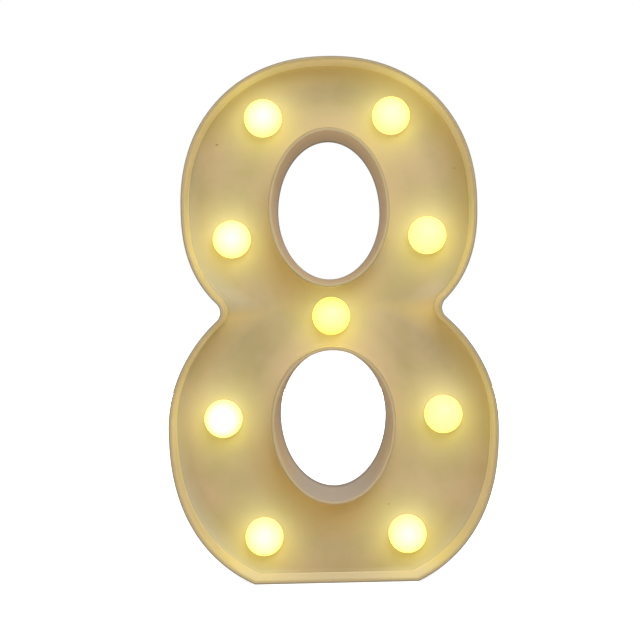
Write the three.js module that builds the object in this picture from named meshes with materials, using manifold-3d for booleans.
// A free-standing figure-eight marquee lamp, built as the real one is: a moulded
// plastic shell with nine frosted bulb caps, an LED in each, two rails of wire,
// a rear cover with a battery tray, a tilting battery door and a slide switch.
//
// Millimetres. +X is to the right as seen from the front, +Z is up, and the lit
// front looks along -Y. The origin is at the middle of the footprint, z = 0 is
// the flat underside, and y = 0 is halfway between the front rim and the back.

import * as THREE from 'three';
import { mergeVertices } from 'three/addons/utils/BufferGeometryUtils.js';
import Module from 'manifold-3d';

// Outline of the figure at the front rim: two lobes that meet in a notch
const UPPER_HALF_WIDTH = 61.9;
const UPPER_RISE = 62.3;
const UPPER_DROP = 55.2;
const LOWER_HALF_WIDTH = 68.9;
const LOWER_RISE = 63.4;
const LOWER_DROP = 71.7;
const LOBE_OVERLAP = 26.5;
const FLOOR_CUT = 6.4;
const NOTCH_RADIUS = 5;

// How square each quarter of a lobe is: 2 is a plain ellipse
const UPPER_RISE_ROUNDNESS = 2.18;
const UPPER_DROP_ROUNDNESS = 2.41;
const LOWER_RISE_ROUNDNESS = 1.95;
const LOWER_DROP_ROUNDNESS = 2.33;
const COUNTER_ROUNDNESS = 2;

// The band of the figure round its two open counters, at the front rim
const CROWN_BAND = 31.2;
const UPPER_SIDE_BAND = 38;
const WAIST_STRIP = 27.9;
const LOWER_SIDE_BAND = 44.3;

// Front shell
const WALL = 1.5;
const WALL_LEAN = 1.6;
const RECESS_DEPTH = 19.5;
const FACE_THICKNESS = 1.6;
const LEDGE_WIDTH = 0.8;
const WIRING_SPACE = 6.2;
const BOSS_WALL = 1.6;

// Clearances: between pieces that touch, and between pieces that slide
const PART_GAP = 0.3;
const RUN_GAP = 0.2;

// Bulb caps, LED holders and LEDs
const CAP_DIAMETER = 16;
const CAP_STANDOUT = 11;
const CAP_WALL = 1.2;
const CAP_FLANGE_WIDTH = 2;
const CAP_FLANGE_THICKNESS = 1.2;
const HOLDER_THICKNESS = 2.4;
const LED_DIAMETER = 5;
const LED_LENGTH = 7.6;
const LED_FLANGE_WIDTH = 0.4;
const LED_FLANGE_THICKNESS = 1;
const LEAD_THICKNESS = 0.5;
const LEAD_PITCH = 2.54;
const BOTTOM_LAMP_OFFSET = 1.45;

// Rear cover, its screws and the keyhole it hangs by
const COVER_THICKNESS = 2;
const SCREW_DIAMETER = 2.6;
const SCREW_LENGTH = 9;
const SCREW_HEAD_DIAMETER = 5;
const SCREW_HEAD_HEIGHT = 1.4;
const SCREW_SLOT_WIDTH = 0.7;
const SCREW_SLOT_DEPTH = 0.9;
const SCREW_SLOT_LENGTH = 2.8;
const LOWER_SCREW_INSET = 9;
const LOWER_SCREW_RAISE = 12.6;
const KEYHOLE_HEAD_DIAMETER = 8;
const KEYHOLE_SLOT_WIDTH = 4.2;
const KEYHOLE_SLOT_LENGTH = 7;
const KEYHOLE_BELOW_TOP = 16;

// Two cells side by side in a tray at the bottom of the cover
const CELL_DIAMETER = 14.2;
const CELL_LENGTH = 50.5;
const CELL_CLEARANCE = 0.25;
const CELL_NUB_DIAMETER = 5.4;
const CELL_NUB_HEIGHT = 1.2;
const CELL_EDGE = 0.5;
const TRAY_WALL = 1;
const TRAY_HEADROOM = 0.12;
const CONTACT_SPACE = 2.8;
const CONTACT_THICKNESS = 0.4;
const CONTACT_WIDTH = 9;
const CONTACT_CONE_DIAMETER = 4;
const SPRING_WIRE = 0.6;
const SPRING_WIDE_DIAMETER = 8;
const SPRING_NARROW_DIAMETER = 4.5;

// Battery door
const DOOR_LAP = 1.2;
const DOOR_TAB_WIDTH = 5;
const DOOR_TAB_REACH = 3;
const DOOR_TAB_THICKNESS = 1.2;
const DOOR_LATCH_WIDTH = 8;
const DOOR_LATCH_LENGTH = 5;
const DOOR_LATCH_THICKNESS = 0.9;
const FINGER_NOTCH_RADIUS = 6;
const FINGER_NOTCH_REACH = 3.4;

// Slide switch in a cradle on the cover
const SWITCH_OFFSET = 9.5;
const SWITCH_RAISE = 15.1;
const SWITCH_LENGTH = 13;
const SWITCH_WIDTH = 6.6;
const SWITCH_DEPTH = 5.5;
const SWITCH_ROOF = 0.8;
const SWITCH_TRAVEL = 3.5;
const KNOB_LENGTH = 4;
const KNOB_WIDTH = 3.4;
const KNOB_GROOVE = 0.5;
const KNOB_FOOT_LAP = 0.7;
const KNOB_FOOT_THICKNESS = 1.2;
const SWITCH_DISH_LENGTH = 14;
const SWITCH_DISH_WIDTH = 8;
const SWITCH_DISH_DEPTH = 1;
const CRADLE_WALL = 1;
const CRADLE_HEIGHT = 4;
const TERMINAL_PITCH = 4;
const TERMINAL_LENGTH = 2.5;
const TERMINAL_WIDTH = 1;
const TERMINAL_THICKNESS = 0.5;

// Wires and the resistor
const WIRE_DIAMETER = 1.2;
const WIRE_BEND = 3;
const WAIST_PASS_CLEARANCE = 7.9;
const RESISTOR_DIAMETER = 2.3;
const RESISTOR_LENGTH = 6.3;
const RESISTOR_LEAD_DIAMETER = 0.6;
const RESISTOR_LEAD_LENGTH = 2.4;

// How far a cut runs past a face, when points are one, and how often a search halves
const OVERRUN = 1;
const WELD = 0.0001;
const HALVINGS = 50;

// How finely round things are divided
const LOWER_FLANK_STEPS = 7;
const LOWER_SHOULDER_STEPS = 8;
const NOTCH_STEPS = 4;
const UPPER_FLANK_STEPS = 7;
const UPPER_CROWN_STEPS = 11;
const COUNTER_QUARTER_STEPS = 8;
const CAP_SEGMENTS = 16;
const DOME_STEPS = 4;
const LED_SEGMENTS = 8;
const LED_DOME_STEPS = 3;
const SCREW_SEGMENTS = 8;
const CELL_SEGMENTS = 20;
const HOLE_SEGMENTS = 12;
const WIRE_SIDES = 6;
const RAIL_STEPS = 72;
const RAIL_SAMPLES_PER_SPAN = 5;
const SHORT_WIRE_STEPS = 18;
const SPRING_TURNS = 2.5;
const SPRING_STEPS = 22;
const SPRING_SIDES = 5;

// How far up each counter is widest, as a share of its height, and how far up
// from the lower lobe's centre to the upper one's the waist is
const UPPER_COUNTER_WIDEST_SHARE = 0.4867;
const LOWER_COUNTER_WIDEST_SHARE = 0.5222;
const WAIST_UP_SHARE = 0.4946;

// Lamps and screws beside a counter sit at a share of the side band's width. Up
// shares are of a lobe's rise (above its centre) or drop (below it).
const TOP_LAMP_ACROSS_SHARE = 0.441;
const TOP_LAMP_UP_SHARE = 0.615;
const UPPER_LAMP_BAND_SHARE = 0.468;
const UPPER_LAMP_UP_SHARE = -0.2355;
const LOWER_LAMP_BAND_SHARE = 0.503;
const LOWER_LAMP_UP_SHARE = 0.043;
const TOP_SCREW_ACROSS_SHARE = 0.3;
const TOP_SCREW_UP_SHARE = 0.79;
const UPPER_SCREW_BAND_SHARE = 0.69;
const UPPER_SCREW_UP_SHARE = 0.14;
const WAIST_SCREW_ACROSS_SHARE = 0.52;
const DOOR_TAB_SPREAD_SHARE = 0.28;

// Depths along Y, front to back, stacked from the pieces that fill them
const DEPTH = RECESS_DEPTH + FACE_THICKNESS + WIRING_SPACE + TRAY_WALL
  + 2 * CELL_CLEARANCE + CELL_DIAMETER + COVER_THICKNESS;
const FRONT_Y = -DEPTH / 2;
const BACK_Y = DEPTH / 2;
const FACE_FRONT_Y = FRONT_Y + RECESS_DEPTH;
const FACE_BACK_Y = FACE_FRONT_Y + FACE_THICKNESS;
const TRAY_FRONT_Y = FACE_BACK_Y + WIRING_SPACE;
const COVER_FRONT_Y = BACK_Y - COVER_THICKNESS;
const LEDGE_Y = COVER_FRONT_Y - PART_GAP;
const CELL_Y = COVER_FRONT_Y - CELL_CLEARANCE - CELL_DIAMETER / 2;
const CAP_FRONT_Y = FACE_FRONT_Y - CAP_STANDOUT;
const CAP_FLANGE_Y = FACE_BACK_Y + PART_GAP;
const CAP_BACK_Y = CAP_FLANGE_Y + CAP_FLANGE_THICKNESS;
const LED_FLANGE_Y = CAP_BACK_Y + PART_GAP;
const LED_BACK_Y = LED_FLANGE_Y + LED_FLANGE_THICKNESS;
const WIRE_Y = TRAY_FRONT_Y - PART_GAP - WIRE_DIAMETER / 2;
const LEAD_END_Y = WIRE_Y - WIRE_DIAMETER / 2 - PART_GAP;

// The battery tray: two cells, one above the other, standing on the shell's floor
const TRAY_BOTTOM = WALL + PART_GAP;
const TRAY_INNER_BOTTOM = TRAY_BOTTOM + TRAY_WALL;
const TRAY_INNER_HEIGHT = 2 * CELL_DIAMETER + 3 * CELL_CLEARANCE;
const TRAY_INNER_TOP = TRAY_INNER_BOTTOM + TRAY_INNER_HEIGHT;
const TRAY_TOP = TRAY_INNER_TOP + TRAY_WALL;
const TRAY_MIDDLE = (TRAY_BOTTOM + TRAY_TOP) / 2;
const TRAY_INNER_REACH = CELL_LENGTH / 2 + CONTACT_SPACE;
const TRAY_REACH = TRAY_INNER_REACH + TRAY_WALL;
const LOW_CELL_HEIGHT = TRAY_INNER_BOTTOM + CELL_CLEARANCE + CELL_DIAMETER / 2;
const HIGH_CELL_HEIGHT = LOW_CELL_HEIGHT + CELL_DIAMETER + CELL_CLEARANCE;

// The battery door and the room its tabs turn in
const DOOR_REACH = TRAY_REACH + DOOR_LAP;
const DOOR_FRONT_Y = COVER_FRONT_Y + PART_GAP;
const DOOR_TAB_BACK_Y = COVER_FRONT_Y - PART_GAP;
const DOOR_TAB_FRONT_Y = DOOR_TAB_BACK_Y - DOOR_TAB_THICKNESS;
const DOOR_TAB_ROOT = DOOR_LAP - PART_GAP;
const DOOR_TAB_SWING = Math.hypot(DOOR_TAB_ROOT, BACK_Y - DOOR_TAB_FRONT_Y);
const DOOR_TAB_SPREAD = DOOR_TAB_SPREAD_SHARE * TRAY_INNER_HEIGHT;
const CONTACT_HALF_DEPTH = BACK_Y - DOOR_TAB_SWING - PART_GAP - CELL_Y;

const wasm = await Module();
wasm.setup();

const shellPlastic = new THREE.MeshStandardMaterial({ color: 0xd9c9a0, roughness: 0.5, metalness: 0 });
const coverPlastic = new THREE.MeshStandardMaterial({ color: 0xd2c29a, roughness: 0.6, metalness: 0 });
const frostedCap = new THREE.MeshStandardMaterial({
  color: 0xfff6cf, roughness: 0.35, metalness: 0, emissive: 0xffe9a0, emissiveIntensity: 0.6,
});
const ledEpoxy = new THREE.MeshStandardMaterial({ color: 0xf4e9b8, roughness: 0.15, metalness: 0 });
const holderPlastic = new THREE.MeshStandardMaterial({ color: 0xefe9da, roughness: 0.6, metalness: 0 });
const blackPlastic = new THREE.MeshStandardMaterial({ color: 0x1d1d1f, roughness: 0.45, metalness: 0 });
const zincSteel = new THREE.MeshStandardMaterial({ color: 0xb9bcc0, roughness: 0.35, metalness: 1 });
const springSteel = new THREE.MeshStandardMaterial({ color: 0xc9c9c6, roughness: 0.3, metalness: 1 });
const cellJacket = new THREE.MeshStandardMaterial({ color: 0x3d6b57, roughness: 0.4, metalness: 0.1 });
const redInsulation = new THREE.MeshStandardMaterial({ color: 0xa8261f, roughness: 0.5, metalness: 0 });
const blackInsulation = new THREE.MeshStandardMaterial({ color: 0x222224, roughness: 0.5, metalness: 0 });
const resistorBody = new THREE.MeshStandardMaterial({ color: 0xcfae7a, roughness: 0.5, metalness: 0 });

/** A measure of a closed mesh that is positive when its faces point out. */
function signedVolume(positions, triangles) {
  const a = new THREE.Vector3();
  const b = new THREE.Vector3();
  const c = new THREE.Vector3();
  let volume = 0;
  for (let i = 0; i < triangles.length; i += 3) {
    a.fromArray(positions, 3 * triangles[i]);
    b.fromArray(positions, 3 * triangles[i + 1]);
    c.fromArray(positions, 3 * triangles[i + 2]);
    volume += a.dot(b.cross(c));
  }
  return volume;
}

/** A closed three.js geometry as a solid that can be joined and cut. */
function toSolid(geometry) {
  const bare = geometry.clone();
  bare.deleteAttribute('normal');
  bare.deleteAttribute('uv');
  const welded = mergeVertices(bare, WELD);
  const positions = welded.getAttribute('position').array;
  const corners = welded.getIndex().array;
  const triangles = [];
  for (let i = 0; i < corners.length; i += 3) {
    const [p, q, r] = [corners[i], corners[i + 1], corners[i + 2]];
    if (p !== q && q !== r && r !== p) triangles.push(p, q, r);
  }
  if (signedVolume(positions, triangles) < 0) triangles.reverse();
  return new wasm.Manifold(new wasm.Mesh({
    numProp: 3,
    vertProperties: new Float32Array(positions),
    triVerts: new Uint32Array(triangles),
  }));
}

/** A solid as a three.js geometry again. */
function toGeometry(solid) {
  const mesh = solid.getMesh();
  const geometry = new THREE.BufferGeometry();
  geometry.setAttribute('position', new THREE.BufferAttribute(new Float32Array(mesh.vertProperties), 3));
  geometry.setIndex(new THREE.BufferAttribute(new Uint32Array(mesh.triVerts), 1));
  geometry.computeVertexNormals();
  return geometry;
}

/** All the given solids joined into one. */
function joined(solids) {
  return solids.reduce((whole, solid) => whole.add(solid));
}

/** A block between two corners, each range as [low, high]. */
function block(xRange, yRange, zRange) {
  const ranges = [xRange, yRange, zRange];
  const sizes = ranges.map(([low, high]) => high - low);
  const middles = ranges.map(([low, high]) => (low + high) / 2);
  return toSolid(new THREE.BoxGeometry(...sizes).translate(...middles));
}

/** A range of the given width about its middle. */
function about(middle, width) {
  return [middle - width / 2, middle + width / 2];
}

/** A closed geometry turned about the Y axis from a profile of [radius, y] points. */
function turned(profile, segments) {
  return new THREE.LatheGeometry(profile.map(([radius, y]) => new THREE.Vector2(radius, y)), segments);
}

/** A flat shape drawn in x and z, made solid from frontY back to backY. */
function plate(shape, frontY, backY, curveSegments = HOLE_SEGMENTS) {
  const options = { depth: backY - frontY, bevelEnabled: false, curveSegments };
  return toSolid(new THREE.ExtrudeGeometry(shape, options).rotateX(Math.PI / 2).translate(0, backY, 0));
}

/** A round bar along Y between two depths, about the point (x, z). */
function bar(diameter, frontY, backY, x, z, segments = HOLE_SEGMENTS) {
  const geometry = new THREE.CylinderGeometry(diameter / 2, diameter / 2, backY - frontY, segments);
  return toSolid(geometry.translate(x, (frontY + backY) / 2, z));
}

/** A closed solid between an outline at frontY and its partner, point for point, at backY. */
function leaningSolid(frontOutline, frontY, backOutline, backY) {
  const count = frontOutline.length;
  const positions = [];
  for (const point of frontOutline) positions.push(point.x, frontY, point.y);
  for (const point of backOutline) positions.push(point.x, backY, point.y);
  const index = [];
  for (const [p, q, r] of THREE.ShapeUtils.triangulateShape(frontOutline, [])) index.push(p, q, r);
  for (const [p, q, r] of THREE.ShapeUtils.triangulateShape(backOutline, [])) {
    index.push(count + r, count + q, count + p);
  }
  for (let i = 0; i < count; i++) {
    const next = (i + 1) % count;
    index.push(next, i, count + i, next, count + i, count + next);
  }
  const geometry = new THREE.BufferGeometry();
  geometry.setAttribute('position', new THREE.Float32BufferAttribute(positions, 3));
  geometry.setIndex(index);
  return toSolid(geometry);
}

/** A lobe or a counter: a closed curve with its own rise, drop and roundness. */
function roundForm(centre, halfWidth, rise, riseRoundness, drop, dropRoundness) {
  return { centre, halfWidth, rise, riseRoundness, drop, dropRoundness };
}

// Heights of the figure: the lobes overlap, and the lower one is cut off by the floor
const LOWER_CENTRE_HEIGHT = LOWER_DROP - FLOOR_CUT;
const UPPER_CENTRE_HEIGHT = LOWER_CENTRE_HEIGHT + LOWER_RISE + UPPER_DROP - LOBE_OVERLAP;
const WAIST_HEIGHT = LOWER_CENTRE_HEIGHT + WAIST_UP_SHARE * (UPPER_CENTRE_HEIGHT - LOWER_CENTRE_HEIGHT);
const UPPER_COUNTER_TOP = UPPER_CENTRE_HEIGHT + UPPER_RISE - CROWN_BAND;
const UPPER_COUNTER_FOOT = WAIST_HEIGHT + WAIST_STRIP / 2;
const LOWER_COUNTER_TOP = WAIST_HEIGHT - WAIST_STRIP / 2;
const LOWER_COUNTER_FOOT = TRAY_TOP + PART_GAP + WALL - lean(TRAY_FRONT_Y) + TRAY_HEADROOM;

/** A counter between two heights, widest at a share of the way up. */
function counterForm(foot, top, widestShare, halfWidth) {
  const drop = widestShare * (top - foot);
  const rise = top - foot - drop;
  return roundForm(foot + drop, halfWidth, rise, COUNTER_ROUNDNESS, drop, COUNTER_ROUNDNESS);
}

const upperLobe = roundForm(
  UPPER_CENTRE_HEIGHT, UPPER_HALF_WIDTH, UPPER_RISE, UPPER_RISE_ROUNDNESS, UPPER_DROP, UPPER_DROP_ROUNDNESS,
);
const lowerLobe = roundForm(
  LOWER_CENTRE_HEIGHT, LOWER_HALF_WIDTH, LOWER_RISE, LOWER_RISE_ROUNDNESS, LOWER_DROP, LOWER_DROP_ROUNDNESS,
);
const upperCounter = counterForm(
  UPPER_COUNTER_FOOT, UPPER_COUNTER_TOP, UPPER_COUNTER_WIDEST_SHARE, UPPER_HALF_WIDTH - UPPER_SIDE_BAND,
);
const lowerCounter = counterForm(
  LOWER_COUNTER_FOOT, LOWER_COUNTER_TOP, LOWER_COUNTER_WIDEST_SHARE, LOWER_HALF_WIDTH - LOWER_SIDE_BAND,
);

/** The way out of a form at an angle: the unit normal of its edge there. */
function edgeNormal(form, angle) {
  const up = Math.sin(angle) >= 0;
  const reach = up ? form.rise : form.drop;
  const power = 2 - 2 / (up ? form.riseRoundness : form.dropRoundness);
  const across = Math.sign(Math.cos(angle)) * Math.abs(Math.cos(angle)) ** power / form.halfWidth;
  const along = Math.sign(Math.sin(angle)) * Math.abs(Math.sin(angle)) ** power / reach;
  return new THREE.Vector2(across, along).normalize();
}

/** The point of a form's edge at an angle, moved out along the edge's normal. */
function edgePoint(form, angle, outset) {
  const up = Math.sin(angle) >= 0;
  const reach = up ? form.rise : form.drop;
  const power = 2 / (up ? form.riseRoundness : form.dropRoundness);
  const across = Math.sign(Math.cos(angle)) * form.halfWidth * Math.abs(Math.cos(angle)) ** power;
  const along = Math.sign(Math.sin(angle)) * reach * Math.abs(Math.sin(angle)) ** power;
  return new THREE.Vector2(across, form.centre + along).addScaledVector(edgeNormal(form, angle), outset);
}

/** The angle between low and high at which a rising test of it passes zero, by halving. */
function angleWhere(test, low, high) {
  for (let i = 0; i < HALVINGS; i++) {
    const middle = (low + high) / 2;
    if (test(middle) < 0) low = middle;
    else high = middle;
  }
  return (low + high) / 2;
}

/** The angle on the lower lobe's shoulder where a ball of the notch's radius is as high as z. */
function shoulderAngle(z) {
  return angleWhere((angle) => edgePoint(lowerLobe, angle, NOTCH_RADIUS).y - z, 0, Math.PI / 2);
}

/** The angle on the upper lobe's flank where a ball of the notch's radius is as high as z. */
function flankAngle(z) {
  return angleWhere((angle) => edgePoint(upperLobe, angle, NOTCH_RADIUS).y - z, -Math.PI / 2, 0);
}

/** Where the notch's round touches the two lobes: a ball in the notch rests on both. */
function findNotch() {
  let low = lowerLobe.centre;
  let high = upperLobe.centre;
  for (let i = 0; i < HALVINGS; i++) {
    const z = (low + high) / 2;
    const onLower = edgePoint(lowerLobe, shoulderAngle(z), NOTCH_RADIUS);
    const onUpper = edgePoint(upperLobe, flankAngle(z), NOTCH_RADIUS);
    if (onLower.x > onUpper.x) low = z;
    else high = z;
  }
  const z = (low + high) / 2;
  const lowerAngle = shoulderAngle(z);
  const upperAngle = flankAngle(z);
  return { centre: edgePoint(lowerLobe, lowerAngle, NOTCH_RADIUS), lowerAngle, upperAngle };
}

const notch = findNotch();

/** Points at even angles from start to end, without the last one. */
function evenAngles(start, end, steps) {
  return Array.from({ length: steps }, (_, i) => start + (end - start) * i / steps);
}

/** The figure's outline drawn in by an inset, and cut flat at a height by its floor. */
function figureOutline(inset, floor) {
  const corner = angleWhere((angle) => edgePoint(lowerLobe, angle, -inset).y - floor, -Math.PI / 2, 0);
  const right = [];
  for (const angle of evenAngles(corner, 0, LOWER_FLANK_STEPS)) {
    right.push(edgePoint(lowerLobe, angle, -inset));
  }
  for (const angle of evenAngles(0, notch.lowerAngle, LOWER_SHOULDER_STEPS)) {
    right.push(edgePoint(lowerLobe, angle, -inset));
  }
  const start = edgeNormal(lowerLobe, notch.lowerAngle).angle() + Math.PI;
  const end = edgeNormal(upperLobe, notch.upperAngle).angle() - Math.PI;
  for (const angle of evenAngles(start, end, NOTCH_STEPS)) {
    const radius = NOTCH_RADIUS + inset;
    const spoke = new THREE.Vector2(Math.cos(angle), Math.sin(angle));
    right.push(notch.centre.clone().addScaledVector(spoke, radius));
  }
  for (const angle of evenAngles(notch.upperAngle, 0, UPPER_FLANK_STEPS)) {
    right.push(edgePoint(upperLobe, angle, -inset));
  }
  for (const angle of evenAngles(0, Math.PI / 2, UPPER_CROWN_STEPS)) {
    right.push(edgePoint(upperLobe, angle, -inset));
  }
  const left = right.map((point) => new THREE.Vector2(-point.x, point.y)).reverse();
  return [...right, edgePoint(upperLobe, Math.PI / 2, -inset), ...left];
}

/** A counter's edge moved out by an outset. */
function counterOutline(counter, outset) {
  const angles = evenAngles(0, 2 * Math.PI, 4 * COUNTER_QUARTER_STEPS);
  return angles.map((angle) => edgePoint(counter, angle, outset));
}

/** How far the leaning walls have come in at a depth. */
function lean(y) {
  return WALL_LEAN * (y - FRONT_Y) / DEPTH;
}

/** The figure drawn in by an inset all round, with leaning sides, from frontY back to backY. */
function figureBody(inset, floor, frontY, backY) {
  const front = figureOutline(inset + lean(frontY), floor);
  const back = figureOutline(inset + lean(backY), floor);
  return leaningSolid(front, frontY, back, backY);
}

/** A counter moved out by an outset, with leaning sides, from frontY back to backY. */
function counterBody(counter, outset, frontY, backY) {
  const front = counterOutline(counter, outset - lean(frontY));
  const back = counterOutline(counter, outset - lean(backY));
  return leaningSolid(front, frontY, back, backY);
}

/** Both counters moved out by an outset, from frontY back to backY. */
function counterBodies(outset, frontY, backY) {
  return joined([upperCounter, lowerCounter].map((counter) => counterBody(counter, outset, frontY, backY)));
}

/** A height on a lobe, from a share of its rise or, below its centre, of its drop. */
function heightOn(lobe, upShare) {
  return lobe.centre + upShare * (upShare < 0 ? lobe.drop : lobe.rise);
}

/** A place on a lobe, from shares of its half width and of its rise or drop. */
function placeOn(lobe, acrossShare, upShare) {
  return { x: acrossShare * lobe.halfWidth, z: heightOn(lobe, upShare) };
}

/** A place beside a counter, from a share of the side band and of the lobe's rise or drop. */
function placeBeside(counter, lobe, bandShare, upShare) {
  const band = lobe.halfWidth - counter.halfWidth;
  return { x: counter.halfWidth + bandShare * band, z: heightOn(lobe, upShare) };
}

/** How far across a form reaches at a height. */
function reachAt(form, z) {
  const above = z >= form.centre;
  const roundness = above ? form.riseRoundness : form.dropRoundness;
  const upShare = Math.abs(z - form.centre) / (above ? form.rise : form.drop);
  return form.halfWidth * (1 - upShare ** roundness) ** (1 / roundness);
}

/** The same place on the left side. */
function mirrored(place) {
  return { x: -place.x, z: place.z };
}

const topLamp = placeOn(upperLobe, TOP_LAMP_ACROSS_SHARE, TOP_LAMP_UP_SHARE);
const upperLamp = placeBeside(upperCounter, upperLobe, UPPER_LAMP_BAND_SHARE, UPPER_LAMP_UP_SHARE);
const waistLamp = { x: 0, z: WAIST_HEIGHT };
const lowerLamp = placeBeside(lowerCounter, lowerLobe, LOWER_LAMP_BAND_SHARE, LOWER_LAMP_UP_SHARE);

// The bottom lamps sit just past the tray's ends, so that their wires clear it
const bottomLamp = { x: TRAY_REACH + BOTTOM_LAMP_OFFSET, z: TRAY_MIDDLE };
const waistHalfWidth = notch.centre.x - NOTCH_RADIUS;
const waistPass = { x: waistHalfWidth - WALL - WAIST_PASS_CLEARANCE, z: notch.centre.y };
const railEnd = { x: bottomLamp.x - WIRE_BEND / 3, z: bottomLamp.z - WIRE_BEND };

// The waist's screws stand in bosses; on the left the rails pass below theirs
const BOSS_DIAMETER = SCREW_DIAMETER + 2 * PART_GAP + 2 * BOSS_WALL;
const waistScrew = { x: WAIST_SCREW_ACROSS_SHARE * waistHalfWidth, z: WAIST_HEIGHT };
const underScrew = { x: -waistScrew.x, z: waistScrew.z - BOSS_DIAMETER / 2 - LEAD_PITCH - WIRE_BEND };

// The rails run past the lamps in this order; their ends and the two passes hold no lamp
const wiringOrder = [
  { place: railEnd, lamp: false },
  { place: bottomLamp, lamp: true },
  { place: lowerLamp, lamp: true },
  { place: waistPass, lamp: false },
  { place: upperLamp, lamp: true },
  { place: topLamp, lamp: true },
  { place: mirrored(topLamp), lamp: true },
  { place: mirrored(upperLamp), lamp: true },
  { place: waistLamp, lamp: true },
  { place: underScrew, lamp: false },
  { place: mirrored(lowerLamp), lamp: true },
  { place: mirrored(bottomLamp), lamp: true },
  { place: mirrored(railEnd), lamp: false },
];
const lampPlaces = wiringOrder.filter((stop) => stop.lamp).map((stop) => stop.place);

const lowerScrewHeight = bottomLamp.z + LOWER_SCREW_RAISE;
const rightScrews = [
  placeOn(upperLobe, TOP_SCREW_ACROSS_SHARE, TOP_SCREW_UP_SHARE),
  placeBeside(upperCounter, upperLobe, UPPER_SCREW_BAND_SHARE, UPPER_SCREW_UP_SHARE),
  waistScrew,
  { x: reachAt(lowerLobe, lowerScrewHeight) - LOWER_SCREW_INSET, z: lowerScrewHeight },
];
const screwPlaces = rightScrews.flatMap((place) => [place, mirrored(place)]);

// The switch stands clear of the tray's end and of the lower counter's wall
const switchPlace = {
  x: Math.max(TRAY_REACH, lowerCounter.halfWidth + WALL) + SWITCH_OFFSET,
  z: TRAY_TOP + SWITCH_RAISE,
};

/** The moulded shell: leaning walls round a recessed face, with a rim behind for the cover. */
function makeFrontShell() {
  const frontEnd = FRONT_Y - OVERRUN;
  const backEnd = BACK_Y + OVERRUN;
  const body = figureBody(0, 0, FRONT_Y, BACK_Y);
  const recess = figureBody(WALL, WALL, frontEnd, FACE_FRONT_Y)
    .subtract(counterBodies(WALL, frontEnd - OVERRUN, BACK_Y));
  const chamber = figureBody(WALL + LEDGE_WIDTH, WALL + LEDGE_WIDTH, FACE_BACK_Y, backEnd)
    .subtract(counterBodies(WALL + LEDGE_WIDTH, FRONT_Y, backEnd + OVERRUN));
  const coverSeat = figureBody(WALL, WALL, LEDGE_Y, backEnd)
    .subtract(counterBodies(WALL, FRONT_Y, backEnd + OVERRUN));
  const counters = counterBodies(0, frontEnd, backEnd);
  const trayRelief = block(
    about(0, 2 * (TRAY_REACH + PART_GAP)),
    [TRAY_FRONT_Y - PART_GAP, backEnd],
    [TRAY_BOTTOM - PART_GAP, TRAY_TOP + PART_GAP],
  );
  const walls = body.subtract(recess).subtract(chamber).subtract(coverSeat).subtract(trayRelief);
  const bosses = screwPlaces.map(({ x, z }) => bar(BOSS_DIAMETER, FACE_BACK_Y, LEDGE_Y, x, z));
  const pilotFront = BACK_Y - SCREW_LENGTH - 2 * PART_GAP;
  const pilots = screwPlaces.map(({ x, z }) => (
    bar(SCREW_DIAMETER + 2 * PART_GAP, pilotFront, backEnd, x, z, SCREW_SEGMENTS)
  ));
  const capHoles = lampPlaces.map(({ x, z }) => (
    bar(CAP_DIAMETER + 2 * PART_GAP, FACE_FRONT_Y - OVERRUN, FACE_BACK_Y + OVERRUN, x, z, CAP_SEGMENTS)
  ));
  return joined([walls, ...bosses]).subtract(joined([...pilots, ...capHoles])).subtract(counters);
}

/** The keyhole's outline: a round for the screw's head with a slot above it. */
function keyholeShape() {
  const headRadius = KEYHOLE_HEAD_DIAMETER / 2;
  const slotRadius = KEYHOLE_SLOT_WIDTH / 2;
  const headHeight = upperLobe.centre + upperLobe.rise - KEYHOLE_BELOW_TOP;
  const opening = Math.asin(slotRadius / headRadius);
  const shape = new THREE.Shape();
  shape.absarc(0, headHeight, headRadius, Math.PI / 2 + opening, Math.PI / 2 - opening, false);
  shape.absarc(0, headHeight + KEYHOLE_SLOT_LENGTH, slotRadius, 0, Math.PI, false);
  return shape;
}

/** A slot with round ends, drawn about the switch. */
function switchDishShape() {
  const radius = SWITCH_DISH_WIDTH / 2;
  const reach = SWITCH_DISH_LENGTH / 2 - radius;
  const shape = new THREE.Shape();
  shape.absarc(switchPlace.x + reach, switchPlace.z, radius, -Math.PI / 2, Math.PI / 2, false);
  shape.absarc(switchPlace.x - reach, switchPlace.z, radius, Math.PI / 2, 3 * Math.PI / 2, false);
  return shape;
}

/** The two heights at which the door's tabs sit. */
function tabHeights() {
  return [TRAY_MIDDLE - DOOR_TAB_SPREAD, TRAY_MIDDLE + DOOR_TAB_SPREAD];
}

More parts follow.
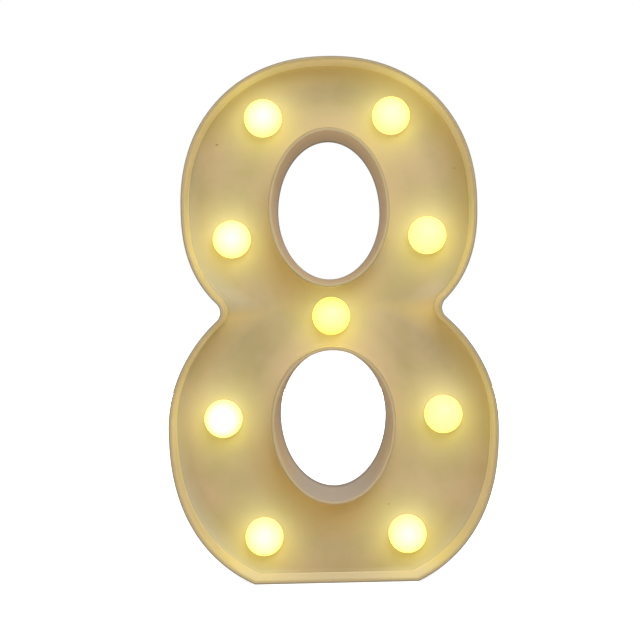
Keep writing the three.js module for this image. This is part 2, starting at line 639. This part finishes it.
/** The flat rear cover with its tray, screw holes, keyhole, switch cradle and door opening. */
function makeBackCover() {
  const backEnd = BACK_Y + OVERRUN;
  const edge = WALL + PART_GAP;
  const sheet = figureBody(edge, edge, COVER_FRONT_Y, BACK_Y)
    .subtract(counterBodies(edge, COVER_FRONT_Y - OVERRUN, backEnd));
  const trayBox = block(about(0, 2 * TRAY_REACH), [TRAY_FRONT_Y, COVER_FRONT_Y], [TRAY_BOTTOM, TRAY_TOP]);
  const trayHollow = block(
    about(0, 2 * TRAY_INNER_REACH),
    [TRAY_FRONT_Y + TRAY_WALL, backEnd],
    [TRAY_INNER_BOTTOM, TRAY_INNER_TOP],
  );
  const doorOpening = block(
    about(0, 2 * (DOOR_REACH + PART_GAP)),
    [COVER_FRONT_Y, backEnd],
    [TRAY_INNER_BOTTOM, TRAY_INNER_TOP],
  );
  const tabSlots = tabHeights().map((z) => block(
    [-TRAY_REACH - OVERRUN, -TRAY_INNER_REACH],
    [BACK_Y - DOOR_TAB_SWING - PART_GAP, backEnd],
    about(z, DOOR_TAB_WIDTH + 2 * PART_GAP),
  ));
  const fingerNotch = bar(
    2 * FINGER_NOTCH_RADIUS, COVER_FRONT_Y - OVERRUN, backEnd,
    DOOR_REACH + FINGER_NOTCH_REACH - FINGER_NOTCH_RADIUS, TRAY_MIDDLE, 2 * HOLE_SEGMENTS,
  ).intersect(block(
    [TRAY_REACH, DOOR_REACH + FINGER_NOTCH_REACH + OVERRUN],
    [COVER_FRONT_Y - OVERRUN, backEnd],
    [TRAY_INNER_BOTTOM, TRAY_INNER_TOP],
  ));
  const wireHoles = [LOW_CELL_HEIGHT, HIGH_CELL_HEIGHT].map((z) => block(
    [TRAY_INNER_REACH - OVERRUN, TRAY_REACH + OVERRUN],
    about(CELL_Y, WIRE_DIAMETER + 2 * PART_GAP),
    about(z, WIRE_DIAMETER + 2 * PART_GAP),
  ));
  const holeRadius = SCREW_DIAMETER / 2 + PART_GAP;
  const headRadius = SCREW_HEAD_DIAMETER / 2 + PART_GAP;
  const sink = turned([
    [0, COVER_FRONT_Y - OVERRUN],
    [holeRadius, COVER_FRONT_Y - OVERRUN],
    [holeRadius, BACK_Y - SCREW_HEAD_HEIGHT - PART_GAP],
    [headRadius, BACK_Y - PART_GAP],
    [headRadius, backEnd],
    [0, backEnd],
  ], HOLE_SEGMENTS);
  const screwHoles = screwPlaces.map(({ x, z }) => toSolid(sink.clone().translate(x, 0, z)));
  const cradle = block(
    about(switchPlace.x, SWITCH_LENGTH + 2 * (PART_GAP + CRADLE_WALL)),
    [COVER_FRONT_Y - CRADLE_HEIGHT, COVER_FRONT_Y],
    about(switchPlace.z, SWITCH_WIDTH + 2 * (PART_GAP + CRADLE_WALL)),
  );
  const cradleHollow = block(
    about(switchPlace.x, SWITCH_LENGTH + 2 * PART_GAP),
    [COVER_FRONT_Y - CRADLE_HEIGHT - OVERRUN, COVER_FRONT_Y],
    about(switchPlace.z, SWITCH_WIDTH + 2 * PART_GAP),
  );
  const window = block(
    about(switchPlace.x, KNOB_LENGTH + SWITCH_TRAVEL + 2 * PART_GAP),
    [COVER_FRONT_Y - OVERRUN, backEnd],
    about(switchPlace.z, KNOB_WIDTH + 2 * PART_GAP),
  );
  const dish = plate(switchDishShape(), BACK_Y - SWITCH_DISH_DEPTH, backEnd);
  const keyhole = plate(keyholeShape(), COVER_FRONT_Y - OVERRUN, backEnd);
  const cuts = joined([
    trayHollow, doorOpening, ...tabSlots, fingerNotch, ...wireHoles, ...screwHoles, window, dish, keyhole,
  ]);
  return joined([sheet, trayBox, cradle.subtract(cradleHollow)]).subtract(cuts);
}

/** The battery door: a lid with two tabs at its left end and a latch tongue at its right. */
function makeBatteryDoor() {
  const lid = block(
    about(0, 2 * DOOR_REACH),
    [DOOR_FRONT_Y, BACK_Y],
    [TRAY_INNER_BOTTOM + PART_GAP, TRAY_INNER_TOP - PART_GAP],
  );
  const tabs = tabHeights().flatMap((z) => [
    block(
      [-DOOR_REACH - DOOR_TAB_REACH, -DOOR_REACH + DOOR_TAB_ROOT],
      [DOOR_TAB_FRONT_Y, DOOR_TAB_BACK_Y],
      about(z, DOOR_TAB_WIDTH),
    ),
    block(
      [-DOOR_REACH, -DOOR_REACH + DOOR_TAB_ROOT],
      [DOOR_TAB_FRONT_Y, DOOR_FRONT_Y],
      about(z, DOOR_TAB_WIDTH),
    ),
  ]);
  const tongue = block(
    [DOOR_REACH - DOOR_LATCH_THICKNESS, DOOR_REACH],
    [DOOR_FRONT_Y - DOOR_LATCH_LENGTH, DOOR_FRONT_Y],
    about(TRAY_MIDDLE, DOOR_LATCH_WIDTH),
  );
  return joined([lid, ...tabs, tongue]);
}

/** A frosted dome on a short skirt, hollow, with a flange that stops behind the face. */
function makeBulbCap() {
  const outer = CAP_DIAMETER / 2;
  const inner = outer - CAP_WALL;
  const domeY = CAP_FRONT_Y + outer;
  const dome = (radius) => evenAngles(0, Math.PI / 2, DOME_STEPS)
    .map((angle) => [radius * Math.sin(angle), domeY - radius * Math.cos(angle)]);
  const flange = outer + CAP_FLANGE_WIDTH;
  return turned([
    ...dome(outer),
    [outer, domeY],
    [outer, CAP_FLANGE_Y],
    [flange, CAP_FLANGE_Y],
    [flange, CAP_BACK_Y],
    [inner, CAP_BACK_Y],
    [inner, domeY],
    ...dome(inner).reverse(),
  ], CAP_SEGMENTS);
}

/** The plug that closes a cap from behind and centres its LED. */
function makeLedHolder() {
  const outer = CAP_DIAMETER / 2 - CAP_WALL - PART_GAP;
  const bore = LED_DIAMETER / 2 + PART_GAP;
  const frontY = CAP_BACK_Y - HOLDER_THICKNESS;
  return turned([
    [bore, frontY], [outer, frontY], [outer, CAP_BACK_Y], [bore, CAP_BACK_Y], [bore, frontY],
  ], HOLE_SEGMENTS);
}

/** A round-nosed LED that points forward, with its two leads cut short behind. */
function makeLed() {
  const radius = LED_DIAMETER / 2;
  const domeY = LED_FLANGE_Y - LED_LENGTH + radius;
  const body = turned([
    ...evenAngles(0, Math.PI / 2, LED_DOME_STEPS)
      .map((angle) => [radius * Math.sin(angle), domeY - radius * Math.cos(angle)]),
    [radius, domeY],
    [radius, LED_FLANGE_Y],
    [radius + LED_FLANGE_WIDTH, LED_FLANGE_Y],
    [radius + LED_FLANGE_WIDTH, LED_BACK_Y],
    [0, LED_BACK_Y],
  ], LED_SEGMENTS);
  const leads = [-LEAD_PITCH / 2, LEAD_PITCH / 2].map((x) => block(
    about(x, LEAD_THICKNESS), [LED_FLANGE_Y, LEAD_END_Y], about(0, LEAD_THICKNESS),
  ));
  return joined([toSolid(body), ...leads]);
}

/** A countersunk self-tapping screw with a cross in its head; its head looks along +Y. */
function makeCoverScrew() {
  const headY = BACK_Y - PART_GAP;
  const tipY = BACK_Y - SCREW_LENGTH;
  const shaft = SCREW_DIAMETER / 2;
  const body = turned([
    [0, tipY],
    [shaft / 2, tipY],
    [shaft, tipY + shaft],
    [shaft, headY - SCREW_HEAD_HEIGHT],
    [SCREW_HEAD_DIAMETER / 2, headY],
    [0, headY],
  ], SCREW_SEGMENTS);
  const slotY = [headY - SCREW_SLOT_DEPTH, headY + OVERRUN];
  const cross = joined([
    block(about(0, SCREW_SLOT_LENGTH), slotY, about(0, SCREW_SLOT_WIDTH)),
    block(about(0, SCREW_SLOT_WIDTH), slotY, about(0, SCREW_SLOT_LENGTH)),
  ]);
  return toSolid(body).subtract(cross);
}

/** A cell turned about Y, its nub at the +Y end: it is laid along X where it goes. */
function makeCell() {
  const radius = CELL_DIAMETER / 2;
  const end = CELL_LENGTH / 2;
  return turned([
    [0, -end],
    [radius - CELL_EDGE, -end],
    [radius, -end + CELL_EDGE],
    [radius, end - CELL_NUB_HEIGHT - CELL_EDGE],
    [radius - CELL_EDGE, end - CELL_NUB_HEIGHT],
    [CELL_NUB_DIAMETER / 2, end - CELL_NUB_HEIGHT],
    [CELL_NUB_DIAMETER / 2, end],
    [0, end],
  ], CELL_SEGMENTS);
}

/** A spring's centre line: a helix along X that narrows towards the cell. */
class SpringCurve extends THREE.Curve {
  /** From the point where the spring stands on its plate, over its length along x. */
  constructor(start, length) {
    super();
    this.start = start;
    this.length = length;
  }

  getPoint(t, target = new THREE.Vector3()) {
    const angle = 2 * Math.PI * SPRING_TURNS * t;
    const wide = (SPRING_WIDE_DIAMETER - SPRING_WIRE) / 2;
    const narrow = (SPRING_NARROW_DIAMETER - SPRING_WIRE) / 2;
    const radius = wide + (narrow - wide) * t;
    target.set(this.length * t, radius * Math.cos(angle), radius * Math.sin(angle));
    return target.add(this.start);
  }
}

/** A round section of a wire, as a shape with the given number of sides. */
function wireSection(diameter, sides) {
  const corners = evenAngles(0, 2 * Math.PI, sides)
    .map((angle) => new THREE.Vector2(Math.cos(angle), Math.sin(angle)).multiplyScalar(diameter / 2));
  return new THREE.Shape(corners);
}

/** A tube of wire along a curve. */
function wireAlong(curve, diameter, sides, steps) {
  const options = { steps, bevelEnabled: false, extrudePath: curve };
  return new THREE.ExtrudeGeometry(wireSection(diameter, sides), options);
}

// A contact's plate stands just inside the tray's end wall
const CONTACT_OUTER_X = TRAY_INNER_REACH - PART_GAP;
const CONTACT_INNER_X = CONTACT_OUTER_X - CONTACT_THICKNESS;

/** The part of a contact's plate that stands behind one cell, on the side that sign names. */
function contactPlate(sign, lowZ, highZ) {
  const xRange = [sign * CONTACT_OUTER_X, sign * CONTACT_INNER_X].sort((p, q) => p - q);
  return block(xRange, about(CELL_Y, 2 * CONTACT_HALF_DEPTH), [lowZ, highZ]);
}

/** A contact's spring, from its plate to just short of the cell's flat end. */
function contactSpring(sign, z) {
  const length = CONTACT_INNER_X - CELL_LENGTH / 2 - PART_GAP - SPRING_WIRE;
  const start = new THREE.Vector3(sign * CONTACT_INNER_X, CELL_Y, z);
  const curve = new SpringCurve(start, -sign * length);
  return toSolid(wireAlong(curve, SPRING_WIRE, SPRING_SIDES, SPRING_STEPS));
}

/** A contact's pressed cone, from its plate to just short of the cell's nub. */
function contactCone(sign, z) {
  const length = CONTACT_INNER_X - CELL_LENGTH / 2 - PART_GAP;
  const geometry = new THREE.CylinderGeometry(
    CONTACT_CONE_DIAMETER / 4, CONTACT_CONE_DIAMETER / 2, length, SCREW_SEGMENTS,
  );
  geometry.rotateZ(sign * Math.PI / 2);
  return toSolid(geometry.translate(sign * (CONTACT_INNER_X - length / 2), CELL_Y, z));
}

/** The positive contact at the right end of the upper cell. */
function makePositiveContact() {
  const [low, high] = about(HIGH_CELL_HEIGHT, CONTACT_WIDTH);
  return contactPlate(1, low, high).add(contactCone(1, HIGH_CELL_HEIGHT));
}

/** The negative contact at the right end of the lower cell. */
function makeNegativeContact() {
  const [low, high] = about(LOW_CELL_HEIGHT, CONTACT_WIDTH);
  return contactPlate(1, low, high).add(contactSpring(1, LOW_CELL_HEIGHT));
}

/** The bridge at the left end that joins the two cells. */
function makeBridgeContact() {
  const low = LOW_CELL_HEIGHT - CONTACT_WIDTH / 2;
  const high = HIGH_CELL_HEIGHT + CONTACT_WIDTH / 2;
  return joined([
    contactPlate(-1, low, high),
    contactCone(-1, LOW_CELL_HEIGHT),
    contactSpring(-1, HIGH_CELL_HEIGHT),
  ]);
}

// Depths of the switch: its body hangs just behind the cover's sheet
const SWITCH_BACK_Y = COVER_FRONT_Y - PART_GAP;
const SWITCH_FRONT_Y = SWITCH_BACK_Y - SWITCH_DEPTH;
const FOOT_BACK_Y = SWITCH_BACK_Y - SWITCH_ROOF - RUN_GAP;
const FOOT_FRONT_Y = FOOT_BACK_Y - KNOB_FOOT_THICKNESS;
const KNOB_BACK_Y = BACK_Y - PART_GAP;
const TERMINAL_END_Y = SWITCH_FRONT_Y - TERMINAL_LENGTH;

/** The switch's body about its own middle: a block with a slot, a hollow for the foot, three terminals. */
function makeSwitchBody() {
  const box = block(about(0, SWITCH_LENGTH), [SWITCH_FRONT_Y, SWITCH_BACK_Y], about(0, SWITCH_WIDTH));
  const slot = block(
    about(0, KNOB_LENGTH + SWITCH_TRAVEL + 2 * RUN_GAP),
    [FOOT_BACK_Y, SWITCH_BACK_Y + OVERRUN],
    about(0, KNOB_WIDTH + 2 * RUN_GAP),
  );
  const hollow = block(
    about(0, KNOB_LENGTH + 2 * KNOB_FOOT_LAP + SWITCH_TRAVEL + 2 * RUN_GAP),
    [FOOT_FRONT_Y - RUN_GAP, FOOT_BACK_Y + RUN_GAP],
    about(0, KNOB_WIDTH + 2 * KNOB_FOOT_LAP + 2 * RUN_GAP),
  );
  const terminals = [-TERMINAL_PITCH, 0, TERMINAL_PITCH].map((x) => block(
    about(x, TERMINAL_WIDTH), [TERMINAL_END_Y, SWITCH_FRONT_Y], about(0, TERMINAL_THICKNESS),
  ));
  return joined([box, ...terminals]).subtract(joined([slot, hollow]));
}

/** The switch's knob with its wider foot and two thumb grooves, about its own middle. */
function makeSwitchSlider() {
  const knob = block(about(0, KNOB_LENGTH), [FOOT_FRONT_Y, KNOB_BACK_Y], about(0, KNOB_WIDTH));
  const foot = block(
    about(0, KNOB_LENGTH + 2 * KNOB_FOOT_LAP),
    [FOOT_FRONT_Y, FOOT_BACK_Y],
    about(0, KNOB_WIDTH + 2 * KNOB_FOOT_LAP),
  );
  const grooves = [-KNOB_LENGTH / 6, KNOB_LENGTH / 6].map((x) => block(
    about(x, KNOB_GROOVE), [KNOB_BACK_Y - KNOB_GROOVE, KNOB_BACK_Y + OVERRUN], about(0, KNOB_WIDTH + OVERRUN),
  ));
  return knob.add(foot).subtract(joined(grooves));
}

/** A resistor turned about Y, with swollen ends and a short lead at each. */
function makeResistor() {
  const end = RESISTOR_LENGTH / 2;
  const bulge = RESISTOR_DIAMETER / 2;
  const waistRadius = bulge - RESISTOR_LEAD_DIAMETER / 4;
  const lead = RESISTOR_LEAD_DIAMETER / 2;
  const tip = end + RESISTOR_LEAD_LENGTH;
  return turned([
    [0, -tip], [lead, -tip], [lead, -end], [bulge, -end + lead], [bulge, -end / 2],
    [waistRadius, -end / 2 + lead], [waistRadius, end / 2 - lead],
    [bulge, end / 2], [bulge, end - lead], [lead, end], [lead, tip], [0, tip],
  ], SCREW_SEGMENTS);
}

// The two rails share one centre line past every lamp, half a lead pitch to each side of it
const centreLine = new THREE.CatmullRomCurve3(
  wiringOrder.map(({ place }) => new THREE.Vector3(place.x, WIRE_Y, place.z)), false, 'centripetal',
);

/** The way across the centre line, in the plane of the face, at a stop on it. */
function acrossAt(t) {
  const tangent = centreLine.getTangent(t);
  return new THREE.Vector3(tangent.z, 0, -tangent.x).normalize();
}

/** A rail's points past the lamps, on the side that sign names. */
function railPoints(sign) {
  const count = RAIL_SAMPLES_PER_SPAN * (wiringOrder.length - 1);
  return Array.from({ length: count + 1 }, (_, i) => {
    const t = i / count;
    return centreLine.getPoint(t).addScaledVector(acrossAt(t), sign * LEAD_PITCH / 2);
  });
}

/** Where a lead meets its rail: just short of the rail's first point. */
function railStart(sign) {
  return railPoints(sign)[0].addScaledVector(centreLine.getTangent(0), -2 * PART_GAP);
}

/** A wire through the given points. */
function wireThrough(points, steps) {
  const curve = new THREE.CatmullRomCurve3(points, false, 'centripetal');
  return wireAlong(curve, WIRE_DIAMETER, WIRE_SIDES, steps);
}

const vector = (x, y, z) => new THREE.Vector3(x, y, z);
const terminalY = TERMINAL_END_Y - PART_GAP;
const resistorY = WIRE_Y + 2 * WIRE_BEND;
const resistorTop = switchPlace.z - 2 * WIRE_BEND;
const resistorHeight = resistorTop - PART_GAP - RESISTOR_LEAD_LENGTH - RESISTOR_LENGTH / 2;
const resistorFoot = resistorHeight - RESISTOR_LENGTH / 2 - RESISTOR_LEAD_LENGTH - PART_GAP;
const besideTray = TRAY_REACH + PART_GAP + WIRE_DIAMETER / 2;

/** The black lead: from the negative contact, out of the tray and forward to its rail. */
function makeNegativeLead() {
  return wireThrough([
    vector(TRAY_INNER_REACH, CELL_Y, LOW_CELL_HEIGHT),
    vector(TRAY_REACH, CELL_Y, LOW_CELL_HEIGHT),
    vector(besideTray + WIRE_BEND / 2, CELL_Y - WIRE_BEND / 3, LOW_CELL_HEIGHT),
    vector(besideTray + WIRE_BEND / 2, CELL_Y - 2 * WIRE_BEND, LOW_CELL_HEIGHT),
    vector(besideTray, WIRE_Y, LOW_CELL_HEIGHT),
    railStart(-1),
  ], SHORT_WIRE_STEPS);
}

/** The red lead: from the resistor down beside the first lamp and forward, round to its rail. */
function makePositiveLead() {
  const { x } = switchPlace;
  const end = railStart(1);
  return wireThrough([
    vector(x, resistorY, resistorFoot),
    vector(x, resistorY, resistorFoot - WIRE_BEND),
    vector(x, resistorY - WIRE_BEND / 2, bottomLamp.z),
    vector(x - WIRE_BEND / 2, WIRE_Y + WIRE_BEND / 2, end.z - WIRE_BEND / 2),
    vector(end.x + WIRE_BEND, WIRE_Y, end.z - WIRE_BEND),
    vector(end.x + WIRE_BEND / 2, WIRE_Y, end.z - WIRE_BEND / 2),
    end,
  ], SHORT_WIRE_STEPS);
}

/** The short red wire from the positive contact up to the switch's left terminal. */
function makeBatteryWire() {
  const x = switchPlace.x - TERMINAL_PITCH;
  return wireThrough([
    vector(TRAY_INNER_REACH, CELL_Y, HIGH_CELL_HEIGHT),
    vector(TRAY_REACH, CELL_Y, HIGH_CELL_HEIGHT),
    vector(besideTray + WIRE_BEND / 2, CELL_Y - WIRE_BEND / 3, HIGH_CELL_HEIGHT + WIRE_BEND / 3),
    vector(x, CELL_Y - WIRE_BEND, HIGH_CELL_HEIGHT + 2 * WIRE_BEND),
    vector(x, terminalY - WIRE_BEND, switchPlace.z - 2 * WIRE_BEND),
    vector(x, terminalY - WIRE_BEND, switchPlace.z - WIRE_BEND / 2),
    vector(x, terminalY - WIRE_BEND / 3, switchPlace.z),
    vector(x, terminalY, switchPlace.z),
  ], SHORT_WIRE_STEPS);
}

/** The short red wire from the switch's middle terminal down to the resistor. */
function makeResistorWire() {
  const { x, z } = switchPlace;
  return wireThrough([
    vector(x, terminalY, z),
    vector(x, terminalY - WIRE_BEND / 3, z),
    vector(x, resistorY, resistorTop + WIRE_BEND),
    vector(x, resistorY, resistorTop),
  ], SHORT_WIRE_STEPS);
}

/** A named mesh of a geometry or a solid. */
function piece(name, shape, material) {
  const closed = shape instanceof THREE.BufferGeometry ? toSolid(shape) : shape;
  const mesh = new THREE.Mesh(toGeometry(closed), material);
  mesh.name = name;
  return mesh;
}

/** Copies of one piece, numbered from 1, one for each place, in a group. */
function copies(name, shape, material, places) {
  const closed = shape instanceof THREE.BufferGeometry ? toSolid(shape) : shape;
  const geometry = toGeometry(closed);
  const group = new THREE.Group();
  places.forEach(({ x, z }, i) => {
    const mesh = new THREE.Mesh(geometry, material);
    mesh.name = `${name}_${i + 1}`;
    mesh.position.set(x, 0, z);
    group.add(mesh);
  });
  return group;
}

/** The lamps: a cap, a holder and an LED at each place, the LED's leads square to the rails. */
function makeLamps() {
  const lamps = new THREE.Group();
  lamps.add(copies('bulb_cap', makeBulbCap(), frostedCap, lampPlaces));
  lamps.add(copies('led_holder', makeLedHolder(), holderPlastic, lampPlaces));
  const leds = copies('led', makeLed(), ledEpoxy, lampPlaces);
  wiringOrder.map((stop, i) => ({ ...stop, t: i / (wiringOrder.length - 1) }))
    .filter((stop) => stop.lamp)
    .forEach(({ t }, i) => {
      const across = acrossAt(t);
      leds.children[i].rotation.y = Math.atan2(-across.z, across.x);
    });
  lamps.add(leds);
  return lamps;
}

/** The two cells: the lower one's nub to the left, the upper one's to the right. */
function makeCells() {
  const cells = new THREE.Group();
  [[LOW_CELL_HEIGHT, Math.PI / 2], [HIGH_CELL_HEIGHT, -Math.PI / 2]].forEach(([z, turn], i) => {
    const cell = piece(`battery_cell_${i + 1}`, makeCell(), cellJacket);
    cell.position.set(0, CELL_Y, z);
    cell.rotation.z = turn;
    cells.add(cell);
  });
  return cells;
}

/** The switch, with its knob at the on end of its travel. */
function makeSwitch() {
  const parts = new THREE.Group();
  parts.add(piece('switch_body', makeSwitchBody(), blackPlastic));
  const slider = piece('switch_slider', makeSwitchSlider(), blackPlastic);
  slider.position.x = SWITCH_TRAVEL / 2;
  parts.add(slider);
  parts.position.set(switchPlace.x, 0, switchPlace.z);
  return parts;
}

/** The wires and the resistor between the switch and the red rail. */
function makeWiring() {
  const wiring = new THREE.Group();
  wiring.add(piece('wire_negative_rail', wireThrough(railPoints(-1), RAIL_STEPS), blackInsulation));
  wiring.add(piece('wire_positive_rail', wireThrough(railPoints(1), RAIL_STEPS), redInsulation));
  wiring.add(piece('wire_negative_lead', makeNegativeLead(), blackInsulation));
  wiring.add(piece('wire_positive_lead', makePositiveLead(), redInsulation));
  wiring.add(piece('wire_battery_to_switch', makeBatteryWire(), redInsulation));
  wiring.add(piece('wire_switch_to_resistor', makeResistorWire(), redInsulation));
  const resistor = piece('resistor', makeResistor(), resistorBody);
  resistor.position.set(switchPlace.x, resistorY, resistorHeight);
  resistor.rotation.x = Math.PI / 2;
  wiring.add(resistor);
  return wiring;
}

const lamp = new THREE.Group();
lamp.name = 'led_number_lamp';
lamp.add(piece('front_shell', makeFrontShell(), shellPlastic));
lamp.add(piece('back_cover', makeBackCover(), coverPlastic));
lamp.add(piece('battery_door', makeBatteryDoor(), coverPlastic));
lamp.add(makeCells());
lamp.add(piece('contact_positive', makePositiveContact(), springSteel));
lamp.add(piece('contact_negative', makeNegativeContact(), springSteel));
lamp.add(piece('contact_bridge', makeBridgeContact(), springSteel));
lamp.add(makeSwitch());
lamp.add(makeLamps());
lamp.add(copies('cover_screw', makeCoverScrew(), zincSteel, screwPlaces));
lamp.add(makeWiring());

export default lamp;
